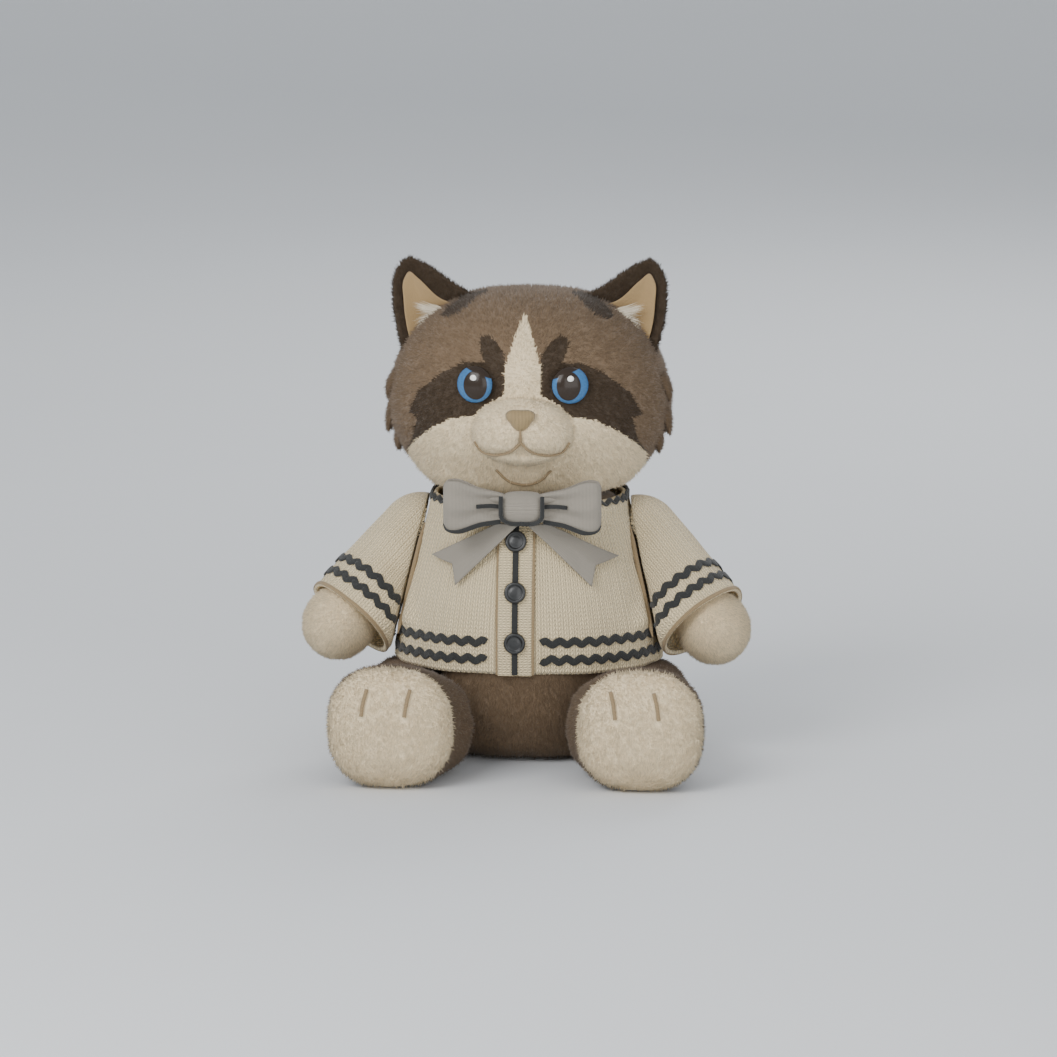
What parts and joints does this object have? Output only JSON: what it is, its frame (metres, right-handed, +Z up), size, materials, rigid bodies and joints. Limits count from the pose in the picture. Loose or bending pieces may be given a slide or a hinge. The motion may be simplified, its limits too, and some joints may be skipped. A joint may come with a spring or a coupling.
{
  "type": "plush cat",
  "caption": "Sitting soft-toy cat with a dark eye mask, knitted cardigan and neck bow; its head, arms, legs and tail turn on internal joints.",
  "frame": {"origin": "centre of the flat seat that the cat sits on, under the neck joint", "axes": "+Z up from the seat through the neck joint, -Y the way the cat faces, +X the cat's left side"},
  "size_m": [0.3568, 0.368, 0.3942],
  "materials": {
    "brown_plush": "warm brown short-pile plush on a knitted backing",
    "dark_plush": "dark brown short-pile plush",
    "cream_plush": "cream short-pile plush",
    "ear_lining": "tan brushed lining cloth",
    "filling": "white polyester fibre filling",
    "bag_cloth": "close-woven white cloth bag, filled with plastic pellets",
    "cardigan_knit": "cream stocking-stitch knit",
    "black_braid": "black zigzag woven braid",
    "button_plastic": "black polished plastic",
    "grey_ribbon": "grey grosgrain ribbon",
    "nose_thread": "tan satin-stitched embroidery thread over felt",
    "eye_plastic": "clear-coated blue plastic with a black pupil",
    "joint_plastic": "natural white moulded plastic"
  },
  "bodies": {
    "torso": {"torso_cover": "brown_plush", "torso_stuffing": "filling", "pellet_bag": "bag_cloth", "cardigan_back": "cardigan_knit", "cardigan_front_left": "cardigan_knit", "cardigan_front_right": "cardigan_knit", "button_band": "cardigan_knit", "front_cord": "black_braid", "hem_trim_lower": "black_braid", "hem_trim_upper": "black_braid", "collar_trim": "black_braid", "button_top": "button_plastic", "button_middle": "button_plastic", "button_bottom": "button_plastic", "bow_loop_left": "grey_ribbon", "bow_loop_right": "grey_ribbon", "bow_knot": "grey_ribbon", "bow_tail_left": "grey_ribbon", "bow_tail_right": "grey_ribbon", "neck_snap_washer": "joint_plastic", "shoulder_snap_washer_left": "joint_plastic", "shoulder_snap_washer_right": "joint_plastic", "hip_snap_washer_left": "joint_plastic", "hip_snap_washer_right": "joint_plastic"},
    "head": {"head_cover": "brown_plush", "head_stuffing": "filling", "muzzle_pad": "cream_plush", "nose": "nose_thread", "ear_left": "dark_plush", "ear_right": "dark_plush", "ear_lining_left": "ear_lining", "ear_lining_right": "ear_lining", "eye_left": "eye_plastic", "eye_right": "eye_plastic", "eye_washer_left": "joint_plastic", "eye_washer_right": "joint_plastic", "neck_stem_disc": "joint_plastic"},
    "arm_left": {"arm_cover_left": "cream_plush", "arm_stuffing_left": "filling", "sleeve_left": "cardigan_knit", "sleeve_trim_lower_left": "black_braid", "sleeve_trim_upper_left": "black_braid", "shoulder_stem_disc_left": "joint_plastic"},
    "arm_right": {"arm_cover_right": "cream_plush", "arm_stuffing_right": "filling", "sleeve_right": "cardigan_knit", "sleeve_trim_lower_right": "black_braid", "sleeve_trim_upper_right": "black_braid", "shoulder_stem_disc_right": "joint_plastic"},
    "leg_left": {"leg_cover_left": "brown_plush", "foot_cover_left": "cream_plush", "leg_stuffing_left": "filling", "hip_stem_disc_left": "joint_plastic"},
    "leg_right": {"leg_cover_right": "brown_plush", "foot_cover_right": "cream_plush", "leg_stuffing_right": "filling", "hip_stem_disc_right": "joint_plastic"},
    "tail": {"tail_cover": "dark_plush", "tail_stuffing": "filling"}
  },
  "joints": [
    {"name": "neck_turn", "type": "hinge", "parent": "torso", "child": "head", "pos_m": [0, 0, 0.209], "axis": [0, 0, 1], "continuous": true},
    {"name": "shoulder_left_swing", "type": "hinge", "parent": "torso", "child": "arm_left", "pos_m": [0.08707, 0, 0.172], "axis": [-0.9744, 0, -0.225], "range_deg": [-60, 80]},
    {"name": "shoulder_right_swing", "type": "hinge", "parent": "torso", "child": "arm_right", "pos_m": [-0.08707, 0, 0.172], "axis": [-0.9744, 0, 0.225], "range_deg": [-60, 80]},
    {"name": "hip_left_swing", "type": "hinge", "parent": "torso", "child": "leg_left", "pos_m": [0.062, -0.018, 0.04], "axis": [1, 0, 0], "range_deg": [0, 90]},
    {"name": "hip_right_swing", "type": "hinge", "parent": "torso", "child": "leg_right", "pos_m": [-0.062, -0.018, 0.04], "axis": [1, 0, 0], "range_deg": [0, 90]},
    {"name": "tail_sway", "type": "hinge", "parent": "torso", "child": "tail", "pos_m": [0, 0.0862, 0.016], "axis": [0, 0, 1], "range_deg": [-35, 35]}
  ]
}
